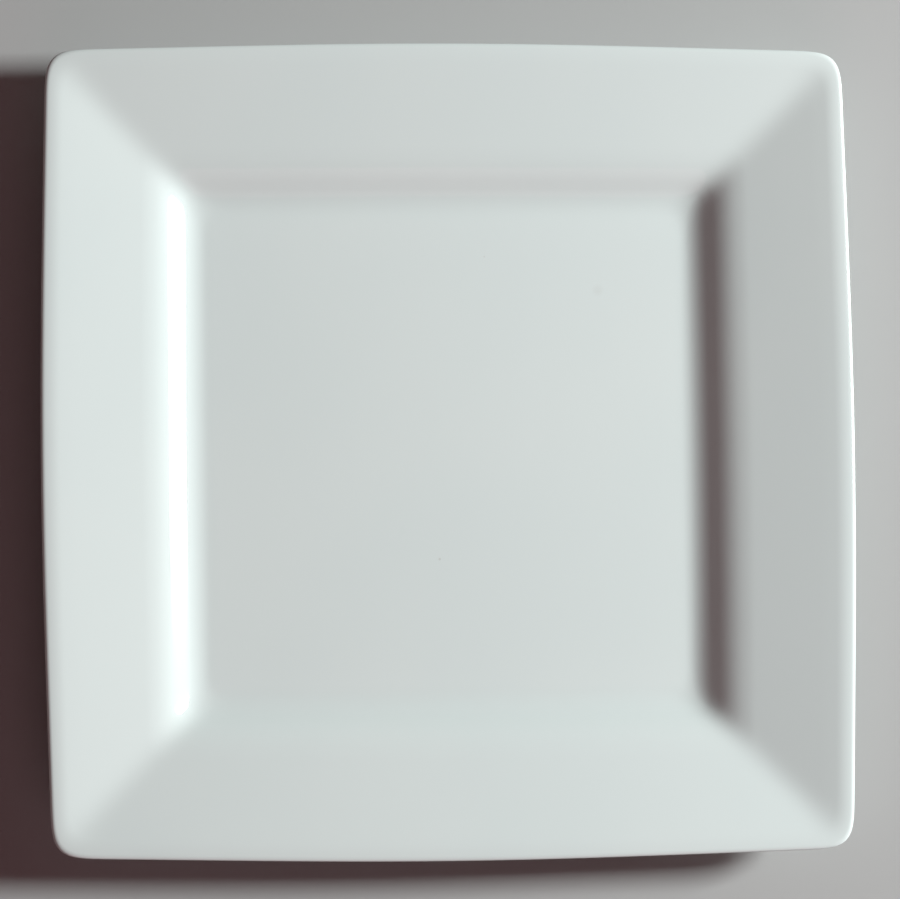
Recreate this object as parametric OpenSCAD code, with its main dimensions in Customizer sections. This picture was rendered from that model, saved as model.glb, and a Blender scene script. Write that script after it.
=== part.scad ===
// Square salad plate of glazed porcelain: a flat square well, a curved wall, a broad sloping rim
// with mitred corners and slightly bowed sides, a rounded lip and a dry foot ring underneath.
// The origin is at the middle of the foot, on the surface that the plate stands on, with +Z up.

/* [Plate] */
// Width across the middles of two opposite sides
plate_w = 210; // [174:1:260]
// Width of the flat part of the well
well_w = 123; // [80:1:150]
// Thickness of the glazed wall, all over
wall_t = 4.4; // [3:0.1:6]

/* [Outline] */
// Distance from a corner at which its two sides start to turn into it, at the lip
corner_reach = 20; // [12:1:40]
// The same distance along the ridges where the sides of the rim and of the wall meet
ridge_reach = 12; // [4:0.5:14]
// Width of the part of the rim over which the ridges open out into the corners of the lip
ridge_end_w = 16; // [5:1:25]
// How tightly a side turns there: 2 gives a quarter circle, and more a smaller and squarer corner
corner_power = 6; // [2:0.5:10]
// How far the middle of a side bows out past the starts of its corners, at the lip
edge_bow = 1.5; // [0:0.1:4]

/* [Section] */
// Radius of the cove between the well and the wall
cove_r = 13.5; // [6:0.5:20]
// Steepest slope of the wall, in degrees
wall_angle = 31; // [25:1:45]
// Length of the straight part of the wall, up its slope
wall_run = 1.8; // [0.5:0.1:6]
// Radius of the shoulder at the top of the wall
shoulder_r = 24; // [10:0.5:30]
// Slope at which the shoulder opens into a wider curve, in degrees
shoulder_end_angle = 16; // [14:1:22]
// Radius of that wider curve, which runs out into the rim
runout_r = 42; // [20:1:80]
// Slope of the rim, in degrees
rim_angle = 11; // [5:1:14]
// Radius over which the rim levels out at the lip
lip_ease_r = 20; // [10:1:40]
// Width of the rounded edge of the lip, seen from above
lip_edge_w = 1.2; // [0.6:0.1:3]
// Drop from the top of the lip to its widest line
lip_edge_h = 0.6; // [0.4:0.1:2]

/* [Foot] */
// Height of the foot ring below the clay of the floor
foot_h = 2.8; // [1.5:0.1:5]
// Width of the foot ring, measured across the ring
foot_t = 4; // [2.5:0.1:8]
// Distance from the edge of the well in to the outside of the foot ring
foot_inset = 3; // [2.5:0.5:10]
// Radius of the foot ring's corners, on its inside
foot_corner_r = 4.5; // [3:0.5:12]
// Radius of the rounded edges of the foot ring
foot_edge_r = 1; // [0.3:0.1:1.2]

/* [Glaze] */
// Thickness of the glaze
glaze_t = 0.25; // [0.1:0.05:0.5]
// Width of the bare band beside the foot ring, where the glaze was wiped off
wiped_w = 1.2; // [0.5:0.1:2]

/* [Hidden] */

// Steps on each arc of the section, on half of the lip's edge, and on each side and corner of a ring
arc_steps = 4;
lip_steps = 4;
side_steps = 6;
corner_steps = 6;
ring_points = 4 * (side_steps + corner_steps);

// Power of a corner that is a quarter circle
round_power = 2;

// Segments in a full turn of the foot's round edges, its corners and the base's corners
edge_fn = 48;
turn_fn = 96;

// Depth that the foot ring bites into the floor, so that the two are one piece of clay
foot_bite = wall_t / 3;

plate_half = plate_w / 2;
well_half = well_w / 2;
foot_half = well_half - foot_inset;
floor_z = foot_h - glaze_t + wall_t;

// Section of the glazed face, as half-width and height: the arcs' centres, from the well to the lip
function up_slope(angle) = [cos(angle), sin(angle)];
function off_slope(angle) = [-sin(angle), cos(angle)];
cove_c = [well_half, floor_z + cove_r];
wall_low = cove_c - cove_r * off_slope(wall_angle);
wall_high = wall_low + wall_run * up_slope(wall_angle);
shoulder_c = wall_high - shoulder_r * off_slope(wall_angle);
runout_low = shoulder_c + shoulder_r * off_slope(shoulder_end_angle);
runout_c = runout_low - runout_r * off_slope(shoulder_end_angle);
rim_low = runout_c + runout_r * off_slope(rim_angle);
lip_half = plate_half - lip_edge_w;
rim_high_half = lip_half - lip_ease_r * sin(rim_angle);
rim_high = [rim_high_half, rim_low[1] + (rim_high_half - rim_low[0]) * tan(rim_angle)];
lip_ease_c = rim_high - lip_ease_r * off_slope(rim_angle);
lip_c = [lip_half, lip_ease_c[1] + lip_ease_r - lip_edge_h];

function reversed(list) = [for (i = [len(list) - 1 : -1 : 0]) list[i]];

// Points on an arc whose slope turns from one angle to another, starting at its first or a later one.
// A radius below 0 makes a hollow arc.
function arc(centre, radius, from, to, steps, first = 0) =
    [for (i = [first : steps]) centre + radius * off_slope(from + (to - from) * i / steps)];

// Section from the edge of the well to the top of the lip, at a depth below the glazed face
function face_section(depth) = concat(
    arc(cove_c, -cove_r - depth, 0, wall_angle, arc_steps),
    arc(shoulder_c, shoulder_r - depth, wall_angle, shoulder_end_angle, arc_steps),
    arc(runout_c, runout_r - depth, shoulder_end_angle, rim_angle, arc_steps, first = 1),
    arc(lip_ease_c, lip_ease_r - depth, rim_angle, 0, arc_steps)
);

// Oval edge of the lip, flatter above than below, without the points that it shares with the face and
// the underside
function lip_section(depth) =
    [for (i = [1 : 2 * lip_steps - 1])
        let (
            turn = 90 - 90 * i / lip_steps,
            h = turn > 0 ? lip_edge_h : wall_t - lip_edge_h
        )
        lip_c + [(lip_edge_w - depth) * cos(turn), (h - depth) * sin(turn)]
    ];

// Section over the face, round the lip and back under the rim, at a depth below the glaze
function whole_section(depth) = concat(
    face_section(depth),
    lip_section(depth),
    reversed(face_section(wall_t - depth))
);

// Bow of a ring's sides, which grows from none at the edge of the well
function ring_bow(half) =
    edge_bow * min(1, max(0, (half - well_half) / (plate_half - well_half)));

// Reach of a ring's corners, which grows towards the lip
function ring_reach(half) =
    ridge_reach + (corner_reach - ridge_reach) * pow(max(0, 1 - (plate_half - half) / ridge_end_w), 2);

// Point of a corner that faces a given way, for a corner with a reach of 1
function corner_point(facing, power) =
    let (slant = pow(tan(facing), 1 / (power - 1)))
    [1, slant] / pow(1 + pow(slant, power), 1 / power);

// Level ring of the plate: a square with round corners, pulled a little towards a circle
function ring(half, z, reach, power) =
    let (
        flat = half - reach,
        far = norm([half, flat]),
        pull = ring_bow(half) / (half * (1 - half / far)),
        side = [for (i = [0 : side_steps]) [half, flat * (2 * i / side_steps - 1)]],
        corner = [for (i = [1 : corner_steps - 1])
            [flat, flat] + reach * corner_point(90 * i / corner_steps, power)
        ]
    )
    [for (turn = [0 : 90 : 270], p = concat(side, corner))
        let (near = 1 - pull + pull * half / norm(p))
        [
            near * (p[0] * cos(turn) - p[1] * sin(turn)),
            near * (p[0] * sin(turn) + p[1] * cos(turn)),
            z
        ]
    ];

// Rings of the plate along a section
function rings(section) = [for (p = section) ring(p[0], p[1], ring_reach(p[0]), corner_power)];

// Closed solid over a run of rings, with a flat fan of faces across the first and the last. A run that
// starts on the inner side of a coat is turned outside in.
module loft(run, outside_in = false) {
    last = (len(run) - 1) * ring_points;
    middles = [for (one = [run[0], run[len(run) - 1]]) [0, 0, one[0][2]]];
    first_middle = last + ring_points;
    faces = [for (j = [0 : ring_points - 1])
        let (next = (j + 1) % ring_points)
        each concat(
            [[first_middle, next, j], [first_middle + 1, last + j, last + next]],
            [for (i = [0 : ring_points : last - 1])
                let (across = i + ring_points + next)
                each [[i + j, across, i + ring_points + j], [i + j, i + next, across]]
            ]
        )
    ];
    polyhedron(
        points = concat([for (one = run) each one], middles),
        faces = outside_in ? [for (face = faces) reversed(face)] : faces
    );
}

// Section of the foot ring, from its outside inwards, with round edges on the side that stands down
module foot_section() {
    translate([-foot_t, foot_edge_r]) square([foot_t, foot_h + foot_bite - foot_edge_r]);
    translate([foot_edge_r - foot_t, 0]) square([foot_t - 2 * foot_edge_r, foot_h]);
    for (x = [-foot_edge_r, foot_edge_r - foot_t])
        translate([x, foot_edge_r]) circle(foot_edge_r, $fn = edge_fn);
}

// Foot ring: four straight lengths joined by quarter turns
module foot_ring() {
    turn_r = foot_corner_r + foot_t;
    straight = 2 * (foot_half - turn_r);
    for (turn = [0 : 90 : 270]) rotate(turn) {
        translate([foot_half, straight / 2, 0]) rotate([90, 0, 0])
            linear_extrude(straight) foot_section();
        translate([straight / 2, straight / 2, 0])
            rotate_extrude(angle = 90, $fn = turn_fn) translate([turn_r, 0]) foot_section();
    }
}

// Level slab with round corners
module rounded_slab(half, r, thickness) {
    linear_extrude(thickness) {
        for (size = [[2 * half, 2 * (half - r)], [2 * (half - r), 2 * half]])
            square(size, center = true);
        for (x = [-1, 1], y = [-1, 1])
            translate([x, y] * (half - r)) circle(r, $fn = turn_fn);
    }
}

// Fired clay: well, wall, rim, lip and foot ring in one piece
module porcelain_body() {
    color([0.93, 0.92, 0.89]) {
        loft(rings(whole_section(glaze_t)));
        foot_ring();
    }
}

// Glaze over the face, round the lip and under the rim, as far as the bare band outside the foot
module glaze_coat() {
    edge_half = foot_half + wiped_w;
    edge_r = foot_corner_r + foot_t + wiped_w;
    color([0.87, 0.9, 0.89])
        loft(concat(
            rings(whole_section(glaze_t)),
            [for (z = [foot_h, foot_h - glaze_t]) ring(edge_half, z, edge_r, round_power)],
            rings(reversed(whole_section(0)))
        ), outside_in = true);
}

// Glaze on the floor's underside, inside the foot ring
module base_glaze() {
    color([0.87, 0.9, 0.89])
        translate([0, 0, foot_h - glaze_t])
            rounded_slab(foot_half - foot_t - wiped_w, foot_corner_r - wiped_w, glaze_t);
}

porcelain_body();
glaze_coat();
base_glaze();
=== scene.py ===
import math

import bmesh
import bpy
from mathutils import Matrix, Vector


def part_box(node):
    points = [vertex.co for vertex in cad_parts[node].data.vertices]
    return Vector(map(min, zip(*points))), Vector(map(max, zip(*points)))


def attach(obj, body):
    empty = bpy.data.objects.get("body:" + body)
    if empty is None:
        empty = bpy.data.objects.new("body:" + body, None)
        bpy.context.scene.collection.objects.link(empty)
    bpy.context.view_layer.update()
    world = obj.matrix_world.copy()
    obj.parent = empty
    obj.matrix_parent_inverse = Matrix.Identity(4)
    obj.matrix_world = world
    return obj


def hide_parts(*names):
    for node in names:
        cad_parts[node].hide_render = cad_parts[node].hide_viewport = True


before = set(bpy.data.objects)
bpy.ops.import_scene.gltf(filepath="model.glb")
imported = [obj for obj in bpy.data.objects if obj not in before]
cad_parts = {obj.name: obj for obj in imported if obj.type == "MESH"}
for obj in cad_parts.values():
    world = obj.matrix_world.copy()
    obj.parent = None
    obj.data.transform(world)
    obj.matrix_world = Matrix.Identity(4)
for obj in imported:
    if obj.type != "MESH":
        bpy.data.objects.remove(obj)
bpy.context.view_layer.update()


# Porcelain body: a plate of fine white clay, pressed to shape between two moulds and fired, with its foot
# ring in the same piece. Glaze covers it except on the foot and on a narrow band to each side of it, where
# it was wiped off so that the plate would not stick to the kiln's shelf.
plate_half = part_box("glaze_coat")[1].x
base_low, base_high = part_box("base_glaze")
glaze_t = base_high.z - base_low.z
clay_under = base_high.z
wall_t = 0.0044
wiped_w = 0.0012
foot_t = 0.004
foot_corner_r = 0.0045
foot_edge_r = 0.001
foot_fillet_r = 0.0007
foot_half = base_high.x + wiped_w + foot_t
foot_inset = 0.003
well_half = foot_half + foot_inset
well_z = clay_under - glaze_t + wall_t

# Section of the glazed face from the well to the lip: cove, wall, shoulder, run-out, rim and eased lip
cove_r = 0.0135
wall_angle = 31
wall_run = 0.0018
shoulder_r = 0.024
shoulder_end_angle = 16
runout_r = 0.042
rim_angle = 11
lip_ease_r = 0.02
lip_edge_w = 0.0012
lip_edge_h = 0.0006


def up_slope(angle):
    """Unit step up a slope, as half-width and height."""
    return Vector((math.cos(math.radians(angle)), math.sin(math.radians(angle))))


def off_slope(angle):
    """Unit step square to a slope, away from the clay."""
    return Vector((-math.sin(math.radians(angle)), math.cos(math.radians(angle))))


cove_centre = Vector((well_half, well_z + cove_r))
wall_high = cove_centre - cove_r * off_slope(wall_angle) + wall_run * up_slope(wall_angle)
shoulder_centre = wall_high - shoulder_r * off_slope(wall_angle)
runout_centre = shoulder_centre + (shoulder_r - runout_r) * off_slope(shoulder_end_angle)
rim_low = runout_centre + runout_r * off_slope(rim_angle)
lip_half = plate_half - lip_edge_w
rim_w = lip_half - lip_ease_r * math.sin(math.radians(rim_angle)) - rim_low.x
rim_high = rim_low + rim_w * Vector((1, math.tan(math.radians(rim_angle))))
ease_centre = rim_high - lip_ease_r * off_slope(rim_angle)
lip_top = ease_centre.y + lip_ease_r
lip_centre = Vector((lip_half, lip_top - lip_edge_h))


def arc(centre, radius, start, end, cuts):
    """Points on an arc of the section whose slope turns from one angle to another."""
    return [centre + radius * off_slope(start + (end - start) * i / cuts) for i in range(cuts + 1)]


def face_section(depth, cuts):
    """Section from the edge of the well to the top of the lip, at a depth below the glazed face."""
    rim_cuts = 5
    ease_cuts = 4
    low = runout_centre + (runout_r - depth) * off_slope(rim_angle)
    high = ease_centre + (lip_ease_r - depth) * off_slope(rim_angle)
    return (
        arc(cove_centre, -cove_r - depth, 0, wall_angle, cuts)
        + arc(shoulder_centre, shoulder_r - depth, wall_angle, shoulder_end_angle, cuts)
        + arc(runout_centre, runout_r - depth, shoulder_end_angle, rim_angle, cuts)[1:]
        + [low.lerp(high, i / rim_cuts) for i in range(1, rim_cuts)]
        + arc(ease_centre, lip_ease_r - depth, rim_angle, 0, ease_cuts)
    )


def lip_section(depth, height, cuts):
    """Quarter oval from the top or the bottom of the lip to its widest line."""
    turns = [math.radians(90 - 90 * i / cuts) for i in range(1, cuts + 1)]
    return [lip_centre + Vector(((lip_edge_w - depth) * math.cos(t), height * math.sin(t))) for t in turns]


# Least difference in height between two rings of the plate, so that a bridge between them doesn't twist,
# and width of the strip along the edge of a broad level face, so that the face shades flat
ring_lift = 0.000001
strip_w = 0.001


def upper_section(depth, cuts):
    """Section of the face and of the lip's upper half, from a flat strip at the edge of the well."""
    face = face_section(depth, cuts)
    well_strip = Vector((strip_w, ring_lift))
    return [face[0] - well_strip] + face + lip_section(depth, lip_edge_h - depth, cuts)


def under_section(depth, cuts):
    """Section of the underside and of the lip's lower half, short of the lip's widest line."""
    lip_drop = wall_t - lip_edge_h - depth
    return face_section(wall_t - depth, cuts) + lip_section(depth, -lip_drop, cuts)[:-1]


# Outline of the lip: a square whose sides bow out a little and turn tightly at the corners. The ridges
# where the sides of the rim meet are tighter, and open out towards the lip.
corner_reach = 0.02
corner_power = 6
ridge_reach = 0.012
ridge_end_w = 0.016
round_power = 2
edge_bow = 0.0015
corner_cuts = 28
side_cuts = 19


def across(corner):
    """Half-width of the upright square that passes through a corner of a mesh."""
    return max(abs(corner.co.x), abs(corner.co.y))


def select_edges(piece, wanted):
    """Selects only those edges of a piece in edit mode that pass a test."""
    bpy.ops.mesh.select_mode(type="EDGE")
    bpy.ops.mesh.select_all(action="DESELECT")
    for edge in bmesh.from_edit_mesh(piece.data).edges:
        if wanted(edge):
            edge.select_set(True)
    bmesh.update_edit_mesh(piece.data)


def select_panels(piece, wanted=lambda panel: True):
    """Selects only the many-sided level faces of a piece in edit mode that pass a test."""
    bpy.ops.mesh.select_mode(type="FACE")
    bpy.ops.mesh.select_all(action="DESELECT")
    for panel in bmesh.from_edit_mesh(piece.data).faces:
        if len(panel.verts) > 4 and wanted(panel):
            panel.select_set(True)
    bmesh.update_edit_mesh(piece.data)


def start_panel(name, half, z, reach, power):
    """Starts a piece as a level square panel with rounded corners, and leaves it in edit mode. A power of 2
    makes the corners quarter circles, and a higher power makes them squarer."""
    profile = 2 ** (-2 / power)
    bpy.ops.object.select_all(action="DESELECT")
    bpy.ops.mesh.primitive_plane_add(size=2 * half, location=(0, 0, z))
    bpy.ops.object.transform_apply(location=True, rotation=True, scale=True)
    piece = bpy.context.object
    piece.name = name
    bpy.ops.object.mode_set(mode="EDIT")
    bpy.ops.mesh.select_all(action="SELECT")
    bpy.ops.mesh.bevel(offset=reach, segments=corner_cuts, profile=profile, affect="VERTICES")
    select_edges(piece, lambda edge: edge.calc_length() > half)
    bpy.ops.mesh.subdivide(number_cuts=side_cuts)
    return piece


def open_panel(piece, wanted=lambda panel: True):
    """Takes out panels of a piece and leaves their edges."""
    select_panels(piece, wanted)
    bpy.ops.mesh.delete(type="ONLY_FACE")


def join_parts(piece, *others):
    """Joins other meshes to a piece, and leaves it in edit mode."""
    bpy.ops.object.mode_set(mode="OBJECT")
    bpy.ops.object.select_all(action="DESELECT")
    for part in (piece, *others):
        part.select_set(True)
    bpy.context.view_layer.objects.active = piece
    bpy.ops.object.join()
    bpy.ops.object.mode_set(mode="EDIT")


def bridge_open_edges(piece, wanted=lambda corner: True):
    """Bridges the two open edges of a piece that pass a test. They are enlarged meanwhile, because edges
    that lie almost level with each other can be bridged with a twist."""
    times = 32
    select_edges(piece, lambda edge: len(edge.link_faces) < 2 and all(wanted(v) for v in edge.verts))
    bpy.ops.transform.resize(value=(times, times, times), center_override=(0, 0, 0))
    bpy.ops.mesh.bridge_edge_loops()
    bpy.ops.transform.resize(value=(1 / times, 1 / times, 1 / times), center_override=(0, 0, 0))


def draw_ring(name, half, z):
    """Starts a piece as a panel with the outline that the plate has at a half-width."""
    opened = max(0, 1 - (plate_half - half) / ridge_end_w) ** 2
    reach = ridge_reach + (corner_reach - ridge_reach) * opened
    bow = max(0, edge_bow * (half - well_half) / (plate_half - well_half))
    piece = start_panel(name, half, z, reach, corner_power)
    bpy.ops.mesh.select_all(action="SELECT")
    corners = [v.co.xy.length for v in bmesh.from_edit_mesh(piece.data).verts]
    mean = sum(corners) / len(corners)
    pull = bow / (1 - half / math.hypot(half, half - reach))
    share = pull / (pull + (1 - pull / half) * mean)
    bpy.ops.transform.tosphere(value=share)
    size = half / (half + share * (mean - half))
    bpy.ops.transform.resize(value=(size, size, 1))
    return piece


def draw_skin(name, section):
    """Makes a skin of the plate: a panel, and rings around it along a section, each bridged to the last."""
    skin = draw_ring(name, *section[0])
    for half, z in section[1:]:
        bpy.ops.object.mode_set(mode="OBJECT")
        ring = draw_ring("ring", half, z)
        open_panel(ring)
        join_parts(skin, ring)
        bridge_open_edges(skin)
    return skin


def round_edges(piece, radius, cuts, wanted):
    """Rounds the square edges of a piece whose ends pass a test."""
    least_angle = math.radians(60)
    round_profile = 0.5
    select_edges(
        piece, lambda edge: edge.calc_face_angle(0) > least_angle and all(wanted(v) for v in edge.verts)
    )
    bpy.ops.mesh.bevel(offset=radius, segments=cuts, profile=round_profile, affect="EDGES")


def turn_faces_out(piece):
    """Makes all faces of a closed or nearly closed piece point outwards."""
    bpy.ops.mesh.select_all(action="SELECT")
    bpy.ops.mesh.normals_make_consistent(inside=False)


def finish_mesh(piece):
    """Leaves edit mode and shades a piece smooth, apart from its square edges."""
    smooth_angle = math.radians(40)
    bpy.ops.object.mode_set(mode="OBJECT")
    bpy.ops.object.select_all(action="DESELECT")
    piece.select_set(True)
    bpy.ops.object.shade_smooth_by_angle(angle=smooth_angle)


def is_lip(corner):
    """Whether a corner of a mesh lies on the lip and not near the foot."""
    return across(corner) > (well_half + plate_half) / 2


# The clay stays a hair clear of the glaze on it, so that neither shows through the other
clay_gap = 0.00002
clay_depth = glaze_t + clay_gap
clay_cuts = 5
foot_edge_cuts = 5
foot_fillet_cuts = 3

foot = start_panel("foot", foot_half, clay_under, foot_corner_r + foot_t, round_power)
select_panels(foot)
bpy.ops.mesh.extrude_region_move(TRANSFORM_OT_translate={"value": (0, 0, -clay_under)})
open_panel(foot, lambda panel: panel.calc_center_median().z > clay_under / 2)
select_panels(foot)
bpy.ops.mesh.inset(thickness=foot_t)
bpy.ops.mesh.extrude_region_move(TRANSFORM_OT_translate={"value": (0, 0, clay_under)})
bpy.ops.mesh.inset(thickness=2 * foot_fillet_r)
round_edges(foot, foot_edge_r, foot_edge_cuts, lambda corner: corner.co.z < clay_under / 2)
bpy.ops.object.mode_set(mode="OBJECT")

underside = draw_skin("underside", under_section(clay_depth, clay_cuts))
open_panel(underside)
bpy.ops.object.mode_set(mode="OBJECT")

body = draw_skin("plate_body", upper_section(clay_depth, clay_cuts))
join_parts(body, underside, foot)
bridge_open_edges(body, is_lip)
bridge_open_edges(body, lambda corner: not is_lip(corner))
turn_faces_out(body)
round_edges(body, foot_fillet_r, foot_fillet_cuts, lambda corner: corner.co.z > clay_under / 2)
finish_mesh(body)


class Link:
    """An output of a node in a material. Sums and products of links add Math nodes to the same material."""

    def __init__(self, tree, socket=None):
        self.tree = tree
        self.socket = socket

    def node(self, kind, settings=None, **sockets):
        """Adds a node with its settings, and then the values or links of its sockets, by name or, as n0, n1
        and so on, by number."""
        made = self.tree.nodes.new(kind)
        for name, setting in (settings or {}).items():
            setattr(made, name, setting)
        for name, value in sockets.items():
            name = name.replace("_", " ")
            socket = made.inputs[int(name[1:]) if name[1:].isdigit() else name]
            if isinstance(value, Link):
                self.tree.links.new(value.socket, socket)
            else:
                socket.default_value = value
        return Link(self.tree, made.outputs[0])

    def output(self, name):
        """Another output of the same node."""
        return Link(self.tree, self.socket.node.outputs[name])

    def feed(self, shader, name):
        """Links this output to a socket of a shader."""
        self.tree.links.new(self.socket, shader.inputs[name])

    def math(self, operation, other=0.0):
        """Adds a Math node on this link and another link or a number."""
        return self.node("ShaderNodeMath", {"operation": operation}, n0=self, n1=other)

    def __add__(self, other):
        return self.math("ADD", other)

    def __mul__(self, other):
        return self.math("MULTIPLY", other)

    def __sub__(self, other):
        return self.math("SUBTRACT", other)

    def __rsub__(self, other):
        return (self * -1) + other

    __radd__ = __add__
    __rmul__ = __mul__

    def step(self, low, high):
        """0 below one value of this link and 1 above another, with a smooth step between."""
        settings = {"interpolation_type": "SMOOTHSTEP"}
        return self.node("ShaderNodeMapRange", settings, Value=self, From_Min=low, From_Max=high)

    def noise(self, size, detail=2.0, rough=0.5):
        """Noise from 0 to 1 at this place, with features of a given size in metres."""
        return self.node(
            "ShaderNodeTexNoise", Vector=self, Scale=1 / size, Detail=detail, Roughness=rough
        )

    def mix(self, start, end):
        """Colour from one to another, by this link as the share of the second."""
        mixed = self.node("ShaderNodeMix", {"data_type": "RGBA"}, n0=self, n6=start, n7=end)
        return mixed.output(2)

    def bump(self, height):
        """Normal of a surface that this link, from 0 to 1, raises by up to a height in metres."""
        return self.node("ShaderNodeBump", Strength=1.0, Distance=height, Height=self)


def start_material(name):
    """A new material: its shader, and the place on the piece as a link."""
    material = bpy.data.materials.new(name)
    material.use_nodes = True
    shader = material.node_tree.nodes["Principled BSDF"]
    place = Link(material.node_tree).node("ShaderNodeTexCoord").output("Object")
    return material, shader, place


# Bare porcelain: off-white, dry and finely ground, a little greyed where the foot has slid on tables
bare_clay = (0.76, 0.735, 0.68, 1)
toned_clay = (0.70, 0.665, 0.60, 1)
table_grey = (0.40, 0.39, 0.37, 1)
tone_size = 0.012
grain_size = 0.0004
grain_h = 0.00003
grain_gloss = 0.1
slid_size = 0.004
slid_full_z = 0.0001
slid_end_z = 0.0005
slid_share = 0.5
slid_gloss = 0.2
dry_rough = 0.72
porcelain, shader, place = start_material("bare porcelain")
height = place.node("ShaderNodeSeparateXYZ", Vector=place).output("Z")
grain = place.noise(grain_size, detail=3.0)
tone = place.noise(tone_size).step(0.35, 0.7)
on_foot = 1 - height.step(slid_full_z, slid_end_z)
slid = place.noise(slid_size, detail=4.0, rough=0.6).step(0.5, 0.75) * on_foot
(slid * slid_share).mix(tone.mix(bare_clay, toned_clay), table_grey).feed(shader, "Base Color")
(dry_rough - slid * slid_gloss - grain * grain_gloss).feed(shader, "Roughness")
grain.bump(grain_h).feed(shader, "Normal")

body.data.materials.append(porcelain)
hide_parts("porcelain_body")
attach(body, "root")


# Glaze coat: clear glass over white clay, fired to a cool white gloss. It was poured over the face, runs
# round the lip and back under the rim, and stops in a rolled edge at the wiped band beside the foot.
roll_r = 0.0001
roll_cuts = 2
glaze_cuts = 10
wiped_half = foot_half + wiped_w
wiped_corner_r = foot_corner_r + foot_t + wiped_w


def draw_shell(name, depth, cuts, edge_z):
    """Makes one side of the glaze: a skin from the well over the lip and back under to the wiped edge."""
    edge = start_panel("edge", wiped_half, edge_z + ring_lift, wiped_corner_r, round_power)
    bpy.ops.object.mode_set(mode="OBJECT")
    under = draw_skin("under", under_section(depth, cuts))
    join_parts(under, edge)
    open_panel(under)
    bridge_open_edges(under, lambda corner: not is_lip(corner))
    bpy.ops.object.mode_set(mode="OBJECT")
    shell = draw_skin(name, upper_section(depth, cuts))
    join_parts(shell, under)
    bridge_open_edges(shell, is_lip)
    bpy.ops.object.mode_set(mode="OBJECT")
    return shell


glaze = draw_shell("plate_glaze", 0, glaze_cuts, base_low.z)
join_parts(glaze, draw_shell("inner_side", glaze_t, clay_cuts, clay_under))
bridge_open_edges(glaze)
turn_faces_out(glaze)
round_edges(glaze, roll_r, roll_cuts, lambda corner: corner.co.z < clay_under)
finish_mesh(glaze)

# Finish of the glaze: nearly even, a shade deeper where it pooled in the cove, with a slow ripple, a few
# iron specks and the fine marks that knives leave in a well
white_glaze = (0.77, 0.835, 0.82, 1)
fired_glaze = (0.755, 0.825, 0.812, 1)
fired_size = 0.07
pooled_glaze = (0.735, 0.812, 0.797, 1)
pooled_share = 0.6
pool_edge_w = 0.003
pool_full_w = 0.004
pool_end_w = 0.012
glossy, shader, place = start_material("white glaze")
x = place.node("ShaderNodeSeparateXYZ", Vector=place)
half = x.math("ABSOLUTE").math("MAXIMUM", x.output("Y").math("ABSOLUTE"))
off_well = half - well_half
pooled = off_well.step(-pool_edge_w, pool_edge_w) * (1 - off_well.step(pool_full_w, pool_end_w))
fired = place.noise(fired_size).step(0.35, 0.65)
coloured = (pooled * pooled_share).mix(fired.mix(white_glaze, fired_glaze), pooled_glaze)

# Iron specks: a few small ones anywhere, in one cell out of twenty, and two marks in the well, each given
# as its place, its radius and its strength
iron_speck = (0.42, 0.38, 0.33, 1)
speck_share = 0.5
speck_r = 0.0002
speck_cell = 0.011
speck_odds = 0.05
faint_stain = ((0.040, 0.042, well_z), 0.0019, 0.15)
dark_fleck = ((-0.0021, -0.0274, well_z), 0.0005, 0.6)
cells = place.node("ShaderNodeTexVoronoi", Vector=place, Scale=1 / speck_cell)
drawn = cells.node("ShaderNodeSeparateColor", Color=cells.output("Color"))
chosen = drawn.step(1 - speck_odds, 1 - speck_odds + 0.001)
specks = chosen * (1 - cells.step(0.5 * speck_r / speck_cell, speck_r / speck_cell))
for mark, mark_r, strength in (faint_stain, dark_fleck):
    away = place.node("ShaderNodeVectorMath", {"operation": "DISTANCE"}, n0=place, n1=mark).output("Value")
    specks = specks + (1 - away.step(0.2 * mark_r, mark_r)) * strength
(specks * speck_share).mix(coloured, iron_speck).feed(shader, "Base Color")

# Gloss: broken a little by the marks of knives, which end before the wall, and by the ripple
gloss_rough = 0.055
gloss_size = 0.003
gloss_change = 0.012
knife_turns = (35, -52)
knife_length = 0.03
knife_w = 0.00025
knife_rough = 0.06
knife_fade_in = 0.006
knife_fade_out = 0.002
ripple_size = 0.009
ripple_h = 0.000012
in_well = 1 - off_well.step(-knife_fade_in, knife_fade_out)
knife_scale = (1 / knife_length, 1 / knife_w, 1)
scratches = 0.0
for turn in knife_turns:
    turned = (0, 0, math.radians(turn))
    along = place.node("ShaderNodeMapping", Vector=place, Rotation=turned, Scale=knife_scale)
    scratches = scratches + along.noise(1.0, detail=1.0).step(0.70, 0.76)
uneven = place.noise(gloss_size, detail=3.0) * gloss_change
(gloss_rough + uneven + scratches * in_well * knife_rough).feed(shader, "Roughness")
place.noise(ripple_size, detail=1.0).bump(ripple_h).feed(shader, "Normal")

glaze.data.materials.append(glossy)
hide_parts("glaze_coat")
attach(glaze, "root")


# Base glaze: the same glaze on the floor's underside, cut off from the rest by the wiped foot ring.
# It lies flat on the clay and rounds over at its edge, where the sponge stopped.
base_middle_z = base_low.z + glaze_t / 2
base = start_panel("plate_base_glaze", base_high.x, base_low.z, foot_corner_r - wiped_w, round_power)
select_panels(base)
bpy.ops.mesh.extrude_region_move(TRANSFORM_OT_translate={"value": (0, 0, glaze_t)})
turn_faces_out(base)
round_edges(base, roll_r, roll_cuts, lambda corner: corner.co.z < base_middle_z)
select_panels(base, lambda panel: panel.calc_center_median().z < base_middle_z)
bpy.ops.mesh.inset(thickness=strip_w)
finish_mesh(base)
base.data.materials.append(glossy)
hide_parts("base_glaze")
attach(base, "root")


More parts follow.
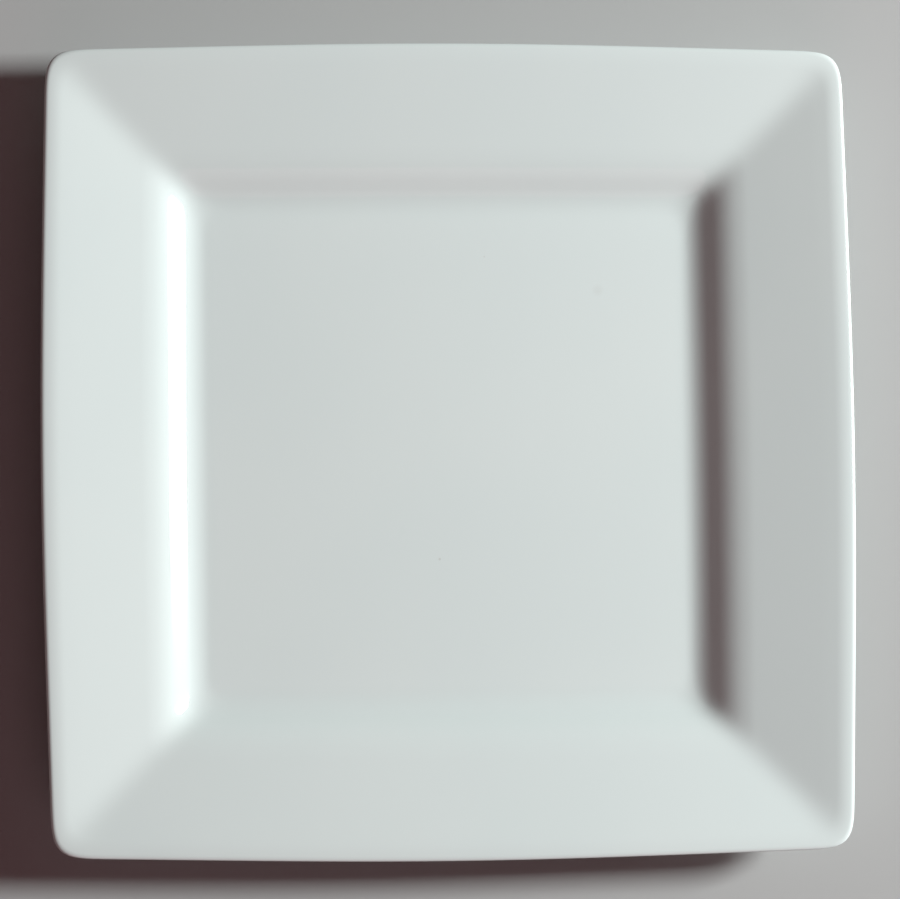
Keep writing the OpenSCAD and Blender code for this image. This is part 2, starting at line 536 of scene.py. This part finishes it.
# Floor: a plain pale table that the plate stands on
floor_w = 8.0
floor_grey = (0.46, 0.46, 0.455, 1)
floor_shade = (0.44, 0.44, 0.435, 1)
floor_shade_size = 0.4
floor_rough = 0.85
bpy.ops.object.select_all(action="DESELECT")
bpy.ops.mesh.primitive_plane_add(size=floor_w)
floor = bpy.context.object
floor.name = "floor"
matt, shader, place = start_material("pale table")
shaded = place.noise(floor_shade_size, detail=1.0).step(0.3, 0.7)
shaded.mix(floor_grey, floor_shade).feed(shader, "Base Color")
shader.inputs["Roughness"].default_value = floor_rough
floor.data.materials.append(matt)


# Light: one soft box to the right of the plate, a dim and broad one at the front, and a faint warm room
# with pale walls, which only the camera and the gloss see
lamp_distance = 1.5
soft_box_elevation = math.radians(29)
soft_box_w = 0.3
soft_box_near_edge = 0.06
soft_box_power = 36.7
soft_box_colour = (0.945, 1.0, 0.995)
front_box_elevation = math.radians(37)
front_box_w = 1.0
front_box_power = 2.2
front_box_colour = (1.0, 0.59, 0.66)


def hang_lamp(direction, aside, width, power, colour):
    """Hangs a square lamp in a direction from the plate, turned to it and then moved aside, along Y."""
    bpy.ops.object.light_add(type="AREA")
    lamp = bpy.context.object
    lamp.data.size = width
    lamp.data.energy = power
    lamp.data.color = colour
    lamp.location = lamp_distance * direction + Vector((0, aside, 0))
    lamp.rotation_euler = direction.to_track_quat("Z", "Y").to_euler()


to_right = Vector((math.cos(soft_box_elevation), 0, math.sin(soft_box_elevation)))
to_front = Vector((0, -math.cos(front_box_elevation), math.sin(front_box_elevation)))
hang_lamp(to_right, soft_box_near_edge + soft_box_w / 2, soft_box_w, soft_box_power, soft_box_colour)
hang_lamp(to_front, 0, front_box_w, front_box_power, front_box_colour)
room_light = (0.054, 0.022, 0.022, 1)
room_walls = (0.34, 0.34, 0.335, 1)
room = bpy.data.worlds.new("room")
room.use_nodes = True
path = Link(room.node_tree).node("ShaderNodeLightPath")
seen = path.output("Is Camera Ray") + path.output("Is Glossy Ray") + path.output("Is Transmission Ray")
seen.mix(room_light, room_walls).feed(room.node_tree.nodes["Background"], "Color")
bpy.context.scene.world = room
bpy.context.scene.view_settings.view_transform = "Standard"


# Camera: a long lens almost straight above the plate, leaning a little to the left and to the front
camera_distance = 1.539
camera_lens = 240
camera_sensor_w = 36
camera_lean_front = math.radians(3.764)
camera_lean_left = math.radians(-6.608)
camera_roll = math.radians(-0.314)
aim_offset = Vector((-0.00005, 0.00033, camera_distance))
bpy.ops.object.camera_add()
camera = bpy.context.object
camera.data.sensor_fit = "HORIZONTAL"
camera.data.sensor_width = camera_sensor_w
camera.data.lens = camera_lens
camera.rotation_mode = "ZYX"
camera.rotation_euler = (camera_lean_front, camera_lean_left, camera_roll)
aim = Vector((0, 0, lip_top - wall_t / 2))
camera.location = aim + camera.rotation_euler.to_matrix() @ aim_offset
bpy.context.scene.camera = camera
